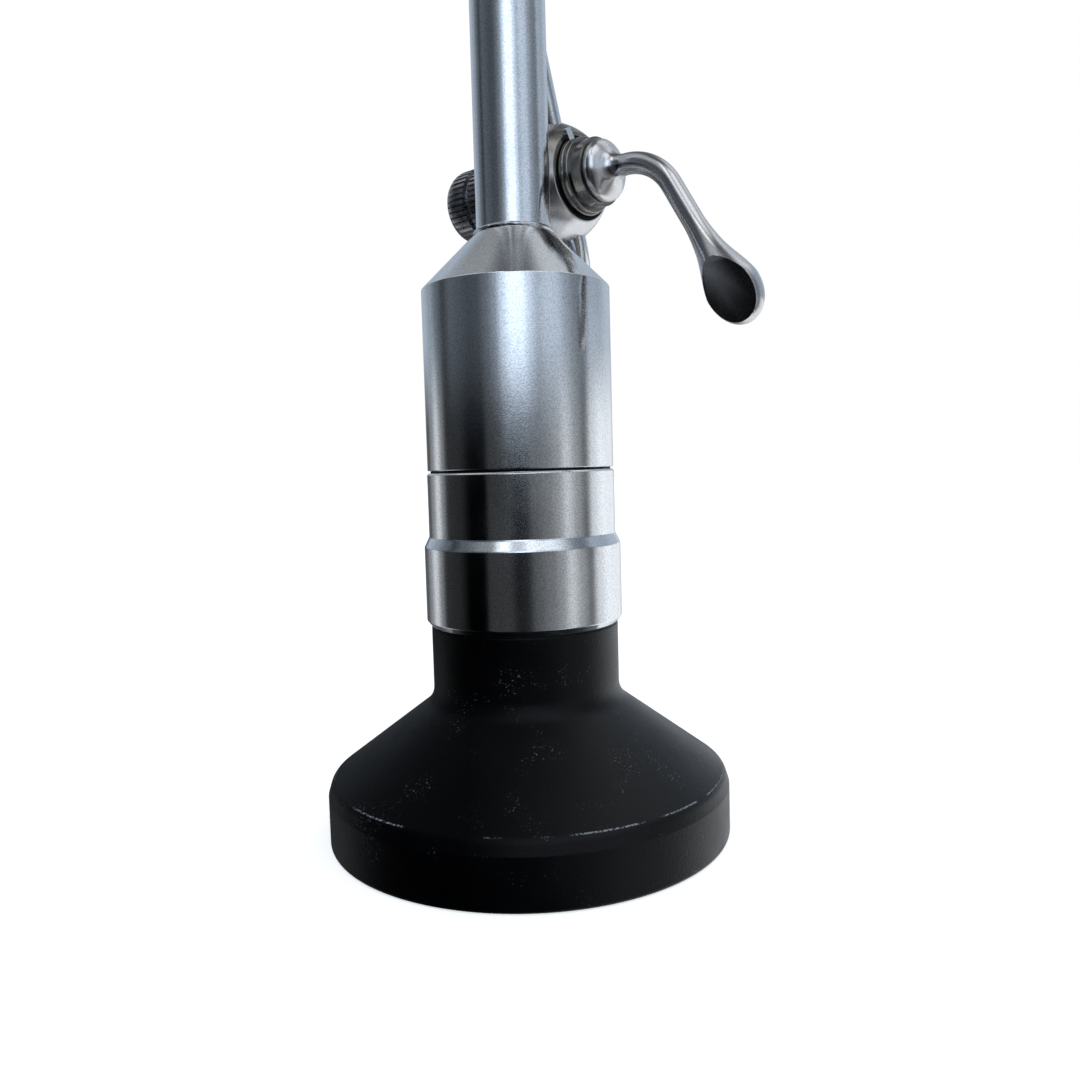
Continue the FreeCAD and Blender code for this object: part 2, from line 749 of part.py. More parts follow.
def stopcock_lever():
    lip = dome_start + dome_lip_length
    neck = lever_bend_corner - lever_bend_radius * math.tan(math.radians(lever_drop_angle / 2))
    flare = neck - lip
    bar = lever_bar_radius
    shoulder_radius = dome_radius * dome_shoulder_share
    shoulder = lip + flare * 0.46
    dome = turned((0, dome_start), (dome_radius - dome_lip_length / 2, dome_start),
                  ((dome_radius - 0.15 * dome_lip_length, dome_start + 0.35 * dome_lip_length), (dome_radius, lip)),
                  ((dome_radius * 0.92, lip + flare * 0.2), (shoulder_radius, shoulder)),
                  ((bar + (shoulder_radius - bar) * 0.24, shoulder + (neck - shoulder) * 0.5), (bar, neck)),
                  (0, neck))
    drop = math.radians(lever_drop_angle)
    down = Vector(0, -math.sin(drop), math.cos(drop))
    bend_start = UP * neck
    arc, bend_end = bend(bend_start, UP, down, lever_bend_radius)
    pad_centre = UP * lever_bend_corner + down * pad_distance
    arm_end = pad_centre - down * pad_taper_length
    arm = swept([arc, Part.makeLine(bend_end, arm_end)], bend_start, UP, bar)
    pad = lever_pad()
    pad.Placement = Placement(pad_centre, Rotation(Vector(1, 0, 0), Vector(1, 0, 0).cross(down) * -1, down, "ZXY"))
    hole = drive_bar(drive_square + 2 * seat_gap, dome_start, ball_face + drive_length)
    return in_plug_frame(dome.cut(hole).fuse([arm, pad]))


def cap_nut():
    """Turned about the plug axis, measured towards the knob's outer end."""
    wide_start = cap_start + cap_length - cap_wide_length
    groove_start = wide_start - cap_groove_width
    end = cap_start + cap_length
    outside = cap_radius + knurl_depth
    rounded = turned((0, wide_start), (outside, wide_start), (outside, end - cap_end_round),
                     ((cap_radius - 0.25 * cap_end_round, end - 0.35 * cap_end_round),
                      (cap_radius - cap_end_round, end)), (0, end))
    wide = fluted(cap_radius, wide_start, end, knurl_count, knurl_depth).common(rounded)
    narrow = fluted(cap_narrow_radius, cap_start, groove_start, knurl_count, knurl_depth)
    body = wide.fuse([narrow, cylinder(cap_groove_radius, groove_start, wide_start)])
    body = body.cut(cylinder(cap_cavity_radius, cap_start, cap_start + cap_cavity_depth))
    body = body.cut(cylinder(tail_radius + seat_gap, cap_start, boss_end + tail_length + face_gap))
    return on_plug_tail(body)


def on_plug_tail(shape):
    """Place a shape that was measured outwards along the plug's tail."""
    shape.rotate(HERE, Vector(1, 0, 0), 180)
    return in_plug_frame(shape)


def plug_washer():
    return on_plug_tail(ring(cap_cavity_radius - seat_gap, tail_radius + seat_gap, cap_start,
                             cap_start + washer_thickness))


def disc_springs():
    start = cap_start + washer_thickness
    pitch = (cap_cavity_depth - washer_thickness) / disc_spring_count
    outer = cap_cavity_radius - 3 * seat_gap
    inner = tail_radius + seat_gap
    springs = []
    for index in range(disc_spring_count):
        bottom = start + index * pitch
        low, high = (outer, inner) if index % 2 else (inner, outer)
        rise = pitch - disc_spring_thickness - seat_gap
        springs.append(turned((low, bottom), (high, bottom + rise), (high, bottom + rise + disc_spring_thickness),
                              (low, bottom + disc_spring_thickness)))
    return on_plug_tail(Part.makeCompound(springs))


def port_route():
    """Start, way and edges of the port tube, from the stopcock to the hub behind the barrel."""
    down = flow_up * -1
    way_out = heading(port_azimuth, port_dip)
    start = plug_origin + down * channel_socket_start
    bend_start = plug_origin + down * port_bend_start
    arc, bend_end = bend(bend_start, down, way_out, port_bend_radius)
    end = bend_end + way_out * port_tube_run
    return start, down, [Part.makeLine(start, bend_start), arc, Part.makeLine(bend_end, end)], end


def port_tube():
    start, way, edges, _ = port_route()
    return swept(edges, start, way, channel_radius).cut(swept(edges, start, way, channel_bore_radius))


def luer_port():
    """Female hub with a tapered mouth and two locking lugs."""
    socket = port_tube_run / 2
    hub_start = luer_neck_length
    end = hub_start + luer_hub_length
    body = turned((0, -socket), (luer_neck_radius, -socket), (luer_neck_radius, 0), (luer_hub_radius, hub_start),
                  (luer_hub_radius, end), (0, end))
    lugs = cylinder(luer_lug_reach, end - luer_lug_length, end)
    lugs = lugs.common(Part.makeBox(2 * luer_lug_reach, luer_lug_width, luer_lug_length,
                                    Vector(-luer_lug_reach, -luer_lug_width / 2, end - luer_lug_length)))
    body = body.fuse(lugs).removeSplitter()
    body = body.cut(cylinder(channel_radius + seat_gap, -socket, 0)).cut(cylinder(channel_bore_radius, 0, end))
    floor_radius = luer_mouth_radius - luer_taper * luer_depth / 2
    body = body.cut(Part.makeCone(floor_radius, luer_mouth_radius, luer_depth, UP * (end - luer_depth), UP))
    _, _, _, tube_end = port_route()
    body.Placement = Placement(tube_end, Rotation(UP, heading(port_azimuth, port_dip)))
    return body


def pieces():
    lug = stop_lug()
    return {
        "eyecup": eyecup(),
        "window_ring": window_ring(),
        "eyepiece_window": eyepiece_window(),
        "ocular_tube": ocular_tube(),
        "lens_retainer": lens_retainer(),
        "eye_lens": eye_lens(),
        "ocular_spacer": ocular_spacer(),
        "field_lens": field_lens(),
        "field_stop": field_stop(),
        "eyepiece_collar": eyepiece_collar(),
        "eyecup_seal": eyecup_seal(),
        "barrel_seal": barrel_seal(),
        "barrel": barrel(),
        "shaft_weld": shaft_weld(),
        "outer_tube": outer_tube(),
        "distal_tip": distal_tip(),
        "optic_tube": optic_tube(),
        "rod_lenses": rod_lenses(),
        "rod_spacers": rod_spacers(),
        "objective_lens": objective_lens(),
        "distal_window": distal_window(),
        "light_fibres": light_fibres(),
        "light_lead": light_lead(),
        "light_post": light_post(),
        "light_guide": light_guide(),
        "light_adaptor": light_adaptor(),
        "channel_tube": channel_tube(),
        "stopcock_body": stopcock_body().cut(lug),
        "stop_lug": lug,
        "plug_seal": plug_seal(),
        "port_tube": port_tube(),
        "luer_port": luer_port(),
        "stopcock_plug": stopcock_plug(),
        "stopcock_flange": stopcock_flange(),
        "stopcock_lever": stopcock_lever(),
        "plug_washer": plug_washer(),
        "disc_springs": disc_springs(),
        "cap_nut": cap_nut(),
    }


def main():
    os.makedirs("parts", exist_ok=True)
    for name, shape in pieces().items():
        shape.exportStep("parts/" + name + ".step")
        print(name, "solids", len(shape.Solids), "volume %.2f" % shape.Volume, "valid", shape.isValid())


main()
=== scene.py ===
import json
import math

import bpy
from mathutils import Matrix, Vector


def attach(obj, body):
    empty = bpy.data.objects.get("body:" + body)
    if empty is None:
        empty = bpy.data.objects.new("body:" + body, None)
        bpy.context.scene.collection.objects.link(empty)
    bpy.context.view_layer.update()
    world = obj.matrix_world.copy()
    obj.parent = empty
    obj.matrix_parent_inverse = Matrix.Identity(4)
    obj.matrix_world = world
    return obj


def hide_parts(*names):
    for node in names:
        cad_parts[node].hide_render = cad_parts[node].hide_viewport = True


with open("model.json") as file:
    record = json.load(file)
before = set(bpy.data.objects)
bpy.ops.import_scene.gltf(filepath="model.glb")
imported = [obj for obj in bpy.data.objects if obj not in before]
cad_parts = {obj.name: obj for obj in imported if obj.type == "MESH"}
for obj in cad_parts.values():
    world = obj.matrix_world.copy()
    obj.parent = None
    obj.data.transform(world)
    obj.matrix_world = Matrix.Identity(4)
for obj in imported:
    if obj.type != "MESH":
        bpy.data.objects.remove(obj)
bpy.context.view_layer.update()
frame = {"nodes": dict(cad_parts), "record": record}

# Sizes and places are in millimetres, and a piece is scaled to metres once, when it is finished.
# The eyecup's rim stands on z = 0.
MM = 0.001
ROUND = 192              # faces round a large turned piece
FINE = 96                # faces round a small one
HOLD = 0.05              # from the end of a long run to the ring that keeps it straight
LONG_RUN = 8 * HOLD
MERGE = 1e-5             # points closer than this are one
BLACK = (0.0, 0.0, 0.0)
WHITE = (1.0, 1.0, 1.0)


# Material nodes

def new_material(name, base_color, metallic, roughness):
    """Material with a Principled shader, and the Object coordinates that its patterns read."""
    material = bpy.data.materials.new(name)
    material.use_nodes = True
    tree = material.node_tree
    shader = tree.nodes["Principled BSDF"]
    shader.inputs["Base Color"].default_value = (*base_color, 1.0)
    shader.inputs["Metallic"].default_value = metallic
    shader.inputs["Roughness"].default_value = roughness
    place = tree.nodes.new("ShaderNodeTexCoord").outputs["Object"]
    return material, tree, shader, place


def noise(tree, place, size, detail=3.0, rough=0.55):
    """Noise whose grains are about size millimetres across."""
    mapping = tree.nodes.new("ShaderNodeMapping")
    mapping.inputs["Scale"].default_value = (1.0 / (size * MM),) * 3
    tree.links.new(place, mapping.inputs["Vector"])
    texture = tree.nodes.new("ShaderNodeTexNoise")
    texture.inputs["Scale"].default_value = 1.0
    texture.inputs["Detail"].default_value = detail
    texture.inputs["Roughness"].default_value = rough
    tree.links.new(mapping.outputs["Vector"], texture.inputs["Vector"])
    return texture.outputs["Fac"]


def split(tree, vector):
    """The X, Y and Z of a vector, by name."""
    node = tree.nodes.new("ShaderNodeSeparateXYZ")
    tree.links.new(vector, node.inputs["Vector"])
    return node.outputs


def calculated(tree, operation, *values):
    """Result of a Math node, from numbers and sockets."""
    node = tree.nodes.new("ShaderNodeMath")
    node.operation = operation
    for value, socket in zip(values, node.inputs):
        if isinstance(value, float):
            socket.default_value = value
        else:
            tree.links.new(value, socket)
    return node.outputs[0]


def spread(tree, value, low, high, start=0.3, end=0.7):
    """A value between start and end, mapped on to the range from low to high."""
    node = tree.nodes.new("ShaderNodeMapRange")
    node.inputs["From Min"].default_value = start
    node.inputs["From Max"].default_value = end
    node.inputs["To Min"].default_value = low
    node.inputs["To Max"].default_value = high
    tree.links.new(value, node.inputs["Value"])
    return node.outputs["Result"]


def tint(tree, value, dark, light, start=0.3, end=0.7):
    """A value between start and end, turned into a colour between dark and light."""
    ramp = tree.nodes.new("ShaderNodeValToRGB")
    ramp.color_ramp.elements[0].position = start
    ramp.color_ramp.elements[0].color = (*dark, 1.0)
    ramp.color_ramp.elements[1].position = end
    ramp.color_ramp.elements[1].color = (*light, 1.0)
    tree.links.new(value, ramp.inputs["Fac"])
    return ramp.outputs["Color"]


def patches(tree, place, size, detail, start, end):
    """Noise cut into white patches on black."""
    return tint(tree, noise(tree, place, size, detail), BLACK, WHITE, start, end)


def mixed(tree, share, first, second):
    """Colour between first and second, each a socket or a colour."""
    node = tree.nodes.new("ShaderNodeMix")
    node.data_type = "RGBA"
    tree.links.new(share, node.inputs["Factor"])
    for value, socket in ((first, node.inputs["A"]), (second, node.inputs["B"])):
        if isinstance(value, tuple):
            socket.default_value = value
        else:
            tree.links.new(value, socket)
    return node.outputs["Result"]


def multiplied(tree, first, second):
    """Product of two colours."""
    node = tree.nodes.new("ShaderNodeMix")
    node.data_type = "RGBA"
    node.blend_type = "MULTIPLY"
    node.inputs["Factor"].default_value = 1.0
    tree.links.new(first, node.inputs["A"])
    tree.links.new(second, node.inputs["B"])
    return node.outputs["Result"]


def bump(tree, shader, height, depth):
    """Bump the surface by a height pattern; depth is in millimetres."""
    node = tree.nodes.new("ShaderNodeBump")
    node.inputs["Strength"].default_value = 1.0
    node.inputs["Distance"].default_value = depth * MM
    tree.links.new(height, node.inputs["Height"])
    tree.links.new(node.outputs["Normal"], shader.inputs["Normal"])


# Materials

def satin_steel(name, dark, light, rough, grain, depth, fleck):
    """Fine bead-blasted stainless steel with cloudy handling marks.

    Its roughness lies between the two of rough. The beads are grain millimetres wide and depth millimetres
    deep, and fleck is the brightness of the darkest specks.
    """
    material, tree, shader, place = new_material(name, light, 1.0, rough[0])
    clouds = noise(tree, place, 4.0, 4.0)
    beads = noise(tree, place, grain, 2.0, 0.7)
    specks = tint(tree, noise(tree, place, 0.11, 1.0), (fleck, fleck, fleck), WHITE, 0.36, 0.6)
    tree.links.new(multiplied(tree, tint(tree, clouds, dark, light), specks), shader.inputs["Base Color"])
    tree.links.new(spread(tree, clouds, *rough), shader.inputs["Roughness"])
    bump(tree, shader, beads, depth)
    return material


# Heights between which the ball's steel goes from plain to darker and browner, a painted shade over its upper
# part, and how far that boundary wanders
UNSHADED_TOP = 51.0
SHADED_BOTTOM = 52.6
SHADE_BOUNDARY_WANDER = 0.8


def shade_painted_steel(name):
    """Steel with painted shade: plain below the plug, darker and browner above it."""
    material, tree, shader, place = new_material(name, (0.6, 0.59, 0.59), 1.0, 0.2)
    clouds = noise(tree, place, 1.6, 4.0)
    # Painted shade: the upper part of the ball is made darker and browner.
    uneven_height = calculated(tree, "MULTIPLY_ADD", clouds, SHADE_BOUNDARY_WANDER * MM, split(tree, place)["Z"])
    shade_share = spread(tree, uneven_height, 0.0, 1.0, UNSHADED_TOP * MM, SHADED_BOTTOM * MM)
    unshaded = tint(tree, clouds, (0.52, 0.51, 0.52), (0.62, 0.61, 0.62))
    shaded = tint(tree, clouds, (0.15, 0.14, 0.125), (0.3, 0.285, 0.26))
    tree.links.new(mixed(tree, shade_share, unshaded, shaded), shader.inputs["Base Color"])
    tree.links.new(spread(tree, clouds, 0.2, 0.3), shader.inputs["Roughness"])
    bump(tree, shader, noise(tree, place, 0.15, 2.0, 0.7), 0.0015)
    return material


# A painted highlight runs along the eyecup's shoulder crease between these heights, and fades out above and
# below them.
HIGHLIGHT_LINE_BOTTOM = 4.98
HIGHLIGHT_LINE_TOP = 5.01
HIGHLIGHT_LINE_FADE = 0.04
# The eyecup's specular level rises between these places on the X axis: painted shade on its left side and a
# painted sheen on its right.
PAINTED_SHADE_SIDE = -4.0
PAINTED_SHEEN_SIDE = 6.0


def eyecup_plastic():
    """Black moulded plastic with a fine grain, specks of dust and a painted highlight along its shoulder
    crease.

    Its specular level rises from left to right: painted shade on its left side and a painted sheen on its
    right.
    """
    material, tree, shader, place = new_material("eyecup_black_plastic", (0.004, 0.004, 0.005), 0.0, 0.4)
    where = split(tree, place)
    clouds = noise(tree, place, 6.0, 4.0)
    plain = tint(tree, clouds, (0.0006, 0.0007, 0.0010), (0.0018, 0.0020, 0.0026))
    dust = multiplied(tree, patches(tree, place, 3.2, 3.0, 0.55, 0.68),
                      patches(tree, place, 0.16, 2.0, 0.62, 0.7))
    # Painted highlight: a pale dotted line along the eyecup's shoulder crease.
    edge = multiplied(
        tree, spread(tree, where["Z"], 0.0, 1.0, (HIGHLIGHT_LINE_BOTTOM - HIGHLIGHT_LINE_FADE) * MM, HIGHLIGHT_LINE_BOTTOM * MM),
        spread(tree, where["Z"], 1.0, 0.0, HIGHLIGHT_LINE_TOP * MM, (HIGHLIGHT_LINE_TOP + HIGHLIGHT_LINE_FADE) * MM))
    highlight_dots = multiplied(tree, patches(tree, place, 7.0, 2.0, 0.5, 0.56),
                      patches(tree, place, 0.16, 2.0, 0.42, 0.56))
    dusty = mixed(tree, dust, plain, (0.13, 0.14, 0.15, 1.0))
    tree.links.new(mixed(tree, multiplied(tree, edge, highlight_dots), dusty, (0.3, 0.32, 0.35, 1.0)),
                   shader.inputs["Base Color"])
    tree.links.new(spread(tree, clouds, 0.32, 0.45), shader.inputs["Roughness"])
    # Painted sheen and shade: the specular level grows from the left side to the right.
    tree.links.new(spread(tree, where["X"], 0.03, 0.21, PAINTED_SHADE_SIDE * MM, PAINTED_SHEEN_SIDE * MM),
                   shader.inputs["Specular IOR Level"])
    bump(tree, shader, noise(tree, place, 0.2, 3.0, 0.7), 0.03)
    return material


def dark_metal(name, color, rough):
    """Dark metal that wears to a paler grey in fine patches; the dark steel of the cap nut is painted shade.
    """
    material, tree, shader, place = new_material(name, color, 1.0, rough)
    wear = noise(tree, place, 0.6, 4.0)
    tree.links.new(tint(tree, wear, color, tuple(2.2 * level for level in color)),
                   shader.inputs["Base Color"])
    tree.links.new(spread(tree, wear, rough, rough + 0.15), shader.inputs["Roughness"])
    bump(tree, shader, noise(tree, place, 0.1, 2.0), 0.003)
    return material


def clear_glass():
    """Polished and coated lens glass."""
    material, tree, shader, place = new_material("coated_glass", (0.9, 0.95, 1.0), 0.0, 0.03)
    shader.inputs["Transmission Weight"].default_value = 0.9
    shader.inputs["IOR"].default_value = 1.52
    tree.links.new(spread(tree, noise(tree, place, 2.0, 3.0), 0.02, 0.08), shader.inputs["Roughness"])
    return material


def fibre_ends():
    """Polished face of a packed bundle of glass fibres."""
    material, tree, shader, place = new_material("glass_fibre_bundle", (0.8, 0.76, 0.62), 0.0, 0.35)
    cells = tree.nodes.new("ShaderNodeTexVoronoi")
    cells.inputs["Scale"].default_value = 9000.0
    tree.links.new(place, cells.inputs["Vector"])
    tree.links.new(tint(tree, cells.outputs["Distance"], (0.85, 0.8, 0.6), (0.25, 0.2, 0.12), 0.2, 0.8),
                   shader.inputs["Base Color"])
    bump(tree, shader, cells.outputs["Distance"], 0.003)
    return material


def seal_rubber():
    """Dull black rubber of the seals, also used for the painted shade rings in the seam and under the flange.
    """
    material, tree, shader, place = new_material("black_seal_rubber", (0.002, 0.002, 0.002), 0.0, 0.55)
    grain = noise(tree, place, 0.15, 3.0)
    shader.inputs["Specular IOR Level"].default_value = 0.1
    tree.links.new(tint(tree, grain, (0.001, 0.001, 0.001), (0.003, 0.003, 0.003)),
                   shader.inputs["Base Color"])
    tree.links.new(spread(tree, grain, 0.45, 0.7), shader.inputs["Roughness"])
    bump(tree, shader, grain, 0.005)
    return material


STEEL = satin_steel("satin_steel", (0.64, 0.66, 0.68), (0.72, 0.74, 0.76),
                    rough=(0.11, 0.16), grain=0.1, depth=0.0022, fleck=0.74)
LEVER_STEEL = satin_steel("stopcock_steel", (0.5, 0.49, 0.49), (0.6, 0.59, 0.59),
                          rough=(0.17, 0.24), grain=0.15, depth=0.0012, fleck=0.84)
# The flange's steel is a darker copy of the satin steel: painted shade.
FLANGE_STEEL = satin_steel("flange_steel_painted_shade", (0.17, 0.16, 0.15), (0.27, 0.26, 0.245),
                           rough=(0.14, 0.22), grain=0.15, depth=0.0015, fleck=0.8)
BALL_STEEL = shade_painted_steel("ball_steel_painted_shade")
# Dark steel: on the knurled cap nut its darkness is painted shade over bright steel.
DARK_STEEL = dark_metal("blackened_steel", (0.19, 0.19, 0.2), 0.2)
DARK_ALUMINIUM = dark_metal("blackened_aluminium", (0.02, 0.02, 0.022), 0.4)
PLASTIC = eyecup_plastic()
GLASS = clear_glass()
FIBRE = fibre_ends()
RUBBER = seal_rubber()

BY_SLOT = {"black_plastic": PLASTIC, "steel": STEEL, "blackened_steel": DARK_STEEL,
           "blackened_aluminium": DARK_ALUMINIUM, "glass": GLASS, "fibre": FIBRE, "rubber": RUBBER}
BY_NODE = {"stopcock_flange": FLANGE_STEEL, "stop_lug": STEEL, "stopcock_body": BALL_STEEL,
           "stopcock_plug": LEVER_STEEL}
for entry in frame["record"]["subparts"]:
    node = frame["nodes"][entry["node"]]
    node.data.materials.clear()
    node.data.materials.append(BY_NODE.get(entry["node"], BY_SLOT[entry["material_slot"]]))


# Modelling

def rounded(corners, step_degrees):
    """Closed outline of (radius, height) points from corners of (radius, height, rounding radius)."""
    points = []
    for index, (radius, height, soft) in enumerate(corners):
        here = Vector((radius, height))
        if soft == 0:
            points.append(here)
            continue
        to_last = (Vector(corners[index - 1][:2]) - here).normalized()
        to_next = (Vector(corners[(index + 1) % len(corners)][:2]) - here).normalized()
        half = to_last.angle(to_next) / 2
        centre = here + (to_last + to_next).normalized() * (soft / math.sin(half))
        start = here + to_last * (soft / math.tan(half)) - centre
        turn = start.angle_signed(here + to_next * (soft / math.tan(half)) - centre)
        steps = max(2, round(abs(math.degrees(turn)) / step_degrees))
        for step in range(steps + 1):
            arm = start.copy()
            arm.rotate(Matrix.Rotation(-turn * step / steps, 2))
            points.append(centre + arm)
    return points


def held(points):
    """Closed outline with a point next to each end of its long runs, so that the corners don't shade them."""
    firm = []
    for here, there in zip(points, points[1:] + points[:1]):
        firm.append(tuple(here))
        run = there - here
        if run.length > LONG_RUN:
            firm += [tuple(here + run.normalized() * HOLD), tuple(there - run.normalized() * HOLD)]
    return firm + firm[:1]


def start_ring(name, radius, height, faces):
    """Open circle about +Z, in edit mode, from which a piece is drawn out."""
    bpy.ops.object.select_all(action="DESELECT")
    bpy.ops.mesh.primitive_circle_add(vertices=faces, radius=radius, location=(0, 0, height))
    piece = bpy.context.object
    piece.name = name
    piece.data.name = name
    bpy.ops.object.transform_apply(location=True, rotation=True, scale=True)
    bpy.ops.object.mode_set(mode="EDIT")
    bpy.ops.mesh.select_all(action="SELECT")
    return piece


def draw_out(points):
    """Extrude the selected ring through the points of an outline, each a (radius, height)."""
    for (radius, height), (next_radius, next_height) in zip(points, points[1:]):
        bpy.ops.mesh.extrude_region_move(TRANSFORM_OT_translate={"value": (0, 0, next_height - height)})
        if next_radius != radius:
            share = next_radius / radius
            bpy.ops.transform.resize(value=(share, share, 1), center_override=(0, 0, next_height))


def close_mesh():
    """Merge what meets, cap what is open and turn the faces outwards."""
    bpy.ops.mesh.select_all(action="SELECT")
    bpy.ops.mesh.remove_doubles(threshold=MERGE)
    bpy.ops.mesh.select_all(action="DESELECT")
    bpy.ops.mesh.select_non_manifold()
    bpy.ops.mesh.fill_holes(sides=0)
    bpy.ops.mesh.select_all(action="SELECT")
    bpy.ops.mesh.normals_make_consistent(inside=False)
    bpy.ops.object.mode_set(mode="OBJECT")


def turned_piece(name, corners, faces=ROUND, step_degrees=12.0):
    """Closed shell of revolution from a closed outline of rounded corners."""
    points = held(rounded(corners, step_degrees))
    piece = start_ring(name, *points[0], faces)
    draw_out(points)
    close_mesh()
    return piece


def choose(piece, test):
    """Select in edit mode the vertices whose place passes the test."""
    bpy.ops.object.mode_set(mode="EDIT")
    bpy.ops.mesh.select_mode(type="VERT")
    bpy.ops.mesh.select_all(action="DESELECT")
    bpy.ops.object.mode_set(mode="OBJECT")
    for vertex in piece.data.vertices:
        vertex.select = test(vertex.co)
    bpy.ops.object.mode_set(mode="EDIT")


def place_piece(piece, placement):
    """Turn and move a piece, and write that into its mesh."""
    bpy.ops.object.select_all(action="DESELECT")
    bpy.context.view_layer.objects.active = piece
    piece.select_set(True)
    piece.matrix_world = placement
    bpy.ops.object.transform_apply(location=True, rotation=True, scale=True)


def finish_piece(piece, material, body, nodes, placement=Matrix.Identity(4), smooth_degrees=30.0):
    """Put a finished piece at its place in metres, with its finish, body and CAD nodes."""
    place_piece(piece, Matrix.Scale(MM, 4) @ placement)
    bpy.ops.object.shade_smooth_by_angle(angle=math.radians(smooth_degrees))
    piece.data.materials.clear()
    piece.data.materials.append(material)
    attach(piece, body)
    if nodes:
        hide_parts(*nodes)


# Heights of the pieces on the shaft's axis
COLLAR_BOTTOM = 16.6
STEP_BOTTOM = 22.9
RING_BOTTOM = 23.75
SEAM = 28.8
SEAM_GAP_LOW = SEAM - 0.1
SEAM_GAP_HIGH = SEAM + 0.09
SHAFT_BOTTOM = 39.9
BARREL_TOP = 42.8
CONE_TOP = 47.1


# Eyecup

EYECUP_RADIUS = 16.0
RIM_BAND_TOP = 3.9
SHOULDER_RADIUS = 15.7
SHOULDER_TOP = 4.86
NECK_RADIUS = 7.45
NECK_BOTTOM = 10.9
COLLAR_SOCKET_RADIUS = 6.66
COLLAR_SOCKET_FLOOR = 11.4
THROAT_RADIUS = 5.6
WINDOW_SEAT_RADIUS = 6.03
WINDOW_TOP = 9.7
WINDOW_RING_SEAT_RADIUS = 6.43
WINDOW_RING_TOP = 8.2
CUP_FLOOR = 7.2
CUP_LIP_RADIUS = 14.0
CUP_LIP_TOP = 1.6
CUP_MOUTH_RADIUS = 14.5


def eyecup():
    """Flared cap with a hollow for the eye below and the seats of window, ring and collar inside."""
    piece = turned_piece("moulded_eyecup", [
        (EYECUP_RADIUS, 0.0, 0.35), (EYECUP_RADIUS, RIM_BAND_TOP, 0.12), (SHOULDER_RADIUS, SHOULDER_TOP, 0.9),
        (NECK_RADIUS, NECK_BOTTOM, 1.8), (NECK_RADIUS, COLLAR_BOTTOM, 0.12),
        (COLLAR_SOCKET_RADIUS, COLLAR_BOTTOM, 0.0), (COLLAR_SOCKET_RADIUS, COLLAR_SOCKET_FLOOR, 0.0),
        (THROAT_RADIUS, COLLAR_SOCKET_FLOOR, 0.0), (THROAT_RADIUS, WINDOW_TOP, 0.0),
        (WINDOW_SEAT_RADIUS, WINDOW_TOP, 0.0), (WINDOW_SEAT_RADIUS, WINDOW_RING_TOP, 0.0),
        (WINDOW_RING_SEAT_RADIUS, WINDOW_RING_TOP, 0.0), (WINDOW_RING_SEAT_RADIUS, CUP_FLOOR, 0.15),
        (CUP_LIP_RADIUS, CUP_LIP_TOP, 0.5), (CUP_MOUTH_RADIUS, 0.0, 0.3)], step_degrees=8.0)
    finish_piece(piece, PLASTIC, "housing", ["eyecup"])


# Collar, barrel and weld

LOWER_BAND_RADIUS = 7.8
LOWER_BAND_BOTTOM_RADIUS = 7.34      # below its bevel
RING_RADIUS = 7.4
RING_TOP_RADIUS = 7.29               # above its bevel
SEAM_FLOOR = 7.02                    # radius at the bottom of the open seam
SPIGOT_RADIUS = 6.6
COLLAR_BORE = 5.62
LOWER_SPIGOT = 5.2
UPPER_SPIGOT = 1.6

BARREL_RADIUS = 7.35
BARREL_BOTTOM_RADIUS = 7.3           # below its bevel
BARREL_SOCKET = 6.63
BARREL_CAVITY = 6.0
CONE_TOP_RADIUS = 3.05
SHAFT_SEAT = 2.94

WELD_INNER = 2.9
WELD_FOOT = 3.12
WELD_OUTER = 3.16
WELD_CROWN = 3.05
WELD_ROUGHNESS = 0.035               # by which its surface goes in and out


def collar():
    """Lower band, rounded step and plain ring, with spigots down into the eyecup and up into the barrel."""
    piece = turned_piece("marked_collar", [
        (COLLAR_BORE, COLLAR_BOTTOM - LOWER_SPIGOT, 0.0), (SPIGOT_RADIUS, COLLAR_BOTTOM - LOWER_SPIGOT, 0.1),
        (SPIGOT_RADIUS, COLLAR_BOTTOM, 0.0), (LOWER_BAND_BOTTOM_RADIUS, COLLAR_BOTTOM, 0.05),
        (LOWER_BAND_RADIUS, COLLAR_BOTTOM + 0.56, 0.14), (LOWER_BAND_RADIUS, STEP_BOTTOM + 0.04, 0.16),
        (RING_RADIUS, RING_BOTTOM - 0.02, 0.22), (RING_RADIUS, SEAM_GAP_LOW - 0.13, 0.03),
        (RING_TOP_RADIUS, SEAM_GAP_LOW, 0.03), (SEAM_FLOOR, SEAM_GAP_LOW, 0.0), (SEAM_FLOOR, SEAM, 0.0),
        (SPIGOT_RADIUS, SEAM, 0.0), (SPIGOT_RADIUS, SEAM + UPPER_SPIGOT, 0.1),
        (COLLAR_BORE, SEAM + UPPER_SPIGOT, 0.0)])
    finish_piece(piece, STEEL, "housing", ["eyepiece_collar"])


def barrel():
    """Barrel and cone, hollow, with the socket of the collar below and the seat of the shaft above."""
    piece = turned_piece("barrel_and_cone", [
        (BARREL_SOCKET, SEAM, 0.0), (SEAM_FLOOR, SEAM, 0.0), (SEAM_FLOOR, SEAM_GAP_HIGH, 0.0),
        (BARREL_BOTTOM_RADIUS, SEAM_GAP_HIGH, 0.02), (BARREL_RADIUS, SEAM_GAP_HIGH + 0.06, 0.02),
        (BARREL_RADIUS, BARREL_TOP, 0.16), (CONE_TOP_RADIUS, CONE_TOP, 0.05), (SHAFT_SEAT, CONE_TOP, 0.0),
        (SHAFT_SEAT, SHAFT_BOTTOM, 0.0), (BARREL_CAVITY, SHAFT_BOTTOM, 0.0),
        (BARREL_CAVITY, SEAM + UPPER_SPIGOT, 0.0), (BARREL_SOCKET, SEAM + UPPER_SPIGOT, 0.0)])
    finish_piece(piece, STEEL, "housing", ["barrel"])


